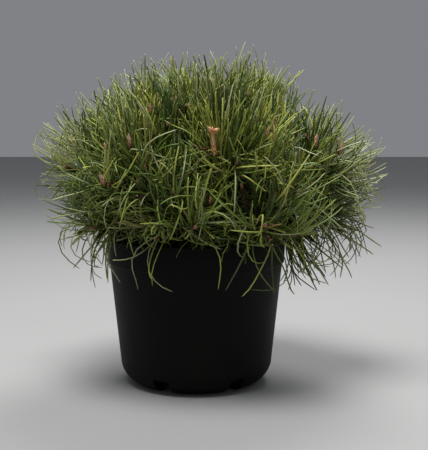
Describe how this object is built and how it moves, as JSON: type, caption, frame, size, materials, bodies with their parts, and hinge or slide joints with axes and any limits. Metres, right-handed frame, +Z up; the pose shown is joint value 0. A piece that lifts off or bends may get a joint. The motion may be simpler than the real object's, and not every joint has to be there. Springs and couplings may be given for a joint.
{
  "type": "potted mugo pine",
  "caption": "Dwarf mugo pine, a broad cushion of long needles on short boughs with a lobe at one side, in a round black nursery container that stands on feet.",
  "frame": {"origin": "middle of the container's underside, on the ground and on the container's axis", "axes": "+Z up along the container's axis; the plant's front looks along -Y, so +X is to its right as the picture shows it"},
  "size_m": [0.3755, 0.3241, 0.3608],
  "materials": {
    "black_plastic": "matt moulded black plastic",
    "compost": "rough dark peat and bark compost",
    "bark": "scaly grey-brown bark",
    "needles": "satin green needles"
  },
  "bodies": {
    "root": {"pot": "black_plastic", "compost": "compost", "trunk": "bark", "bough_low_1": "bark", "bough_low_2": "bark", "bough_low_3": "bark", "bough_low_4": "bark", "bough_low_5": "bark", "bough_low_6": "bark", "bough_low_7": "bark", "bough_mid_1": "bark", "bough_mid_2": "bark", "bough_mid_3": "bark", "bough_mid_4": "bark", "bough_mid_5": "bark", "bough_mid_6": "bark", "bough_high_1": "bark", "bough_high_2": "bark", "bough_high_3": "bark", "bough_high_4": "bark", "needles_low_1": "needles", "needles_low_2": "needles", "needles_low_3": "needles", "needles_low_4": "needles", "needles_low_5": "needles", "needles_low_6": "needles", "needles_low_7": "needles", "needles_mid_1": "needles", "needles_mid_2": "needles", "needles_mid_3": "needles", "needles_mid_4": "needles", "needles_mid_5": "needles", "needles_mid_6": "needles", "needles_high_1": "needles", "needles_high_2": "needles", "needles_high_3": "needles", "needles_high_4": "needles"}
  },
  "joints": []
}
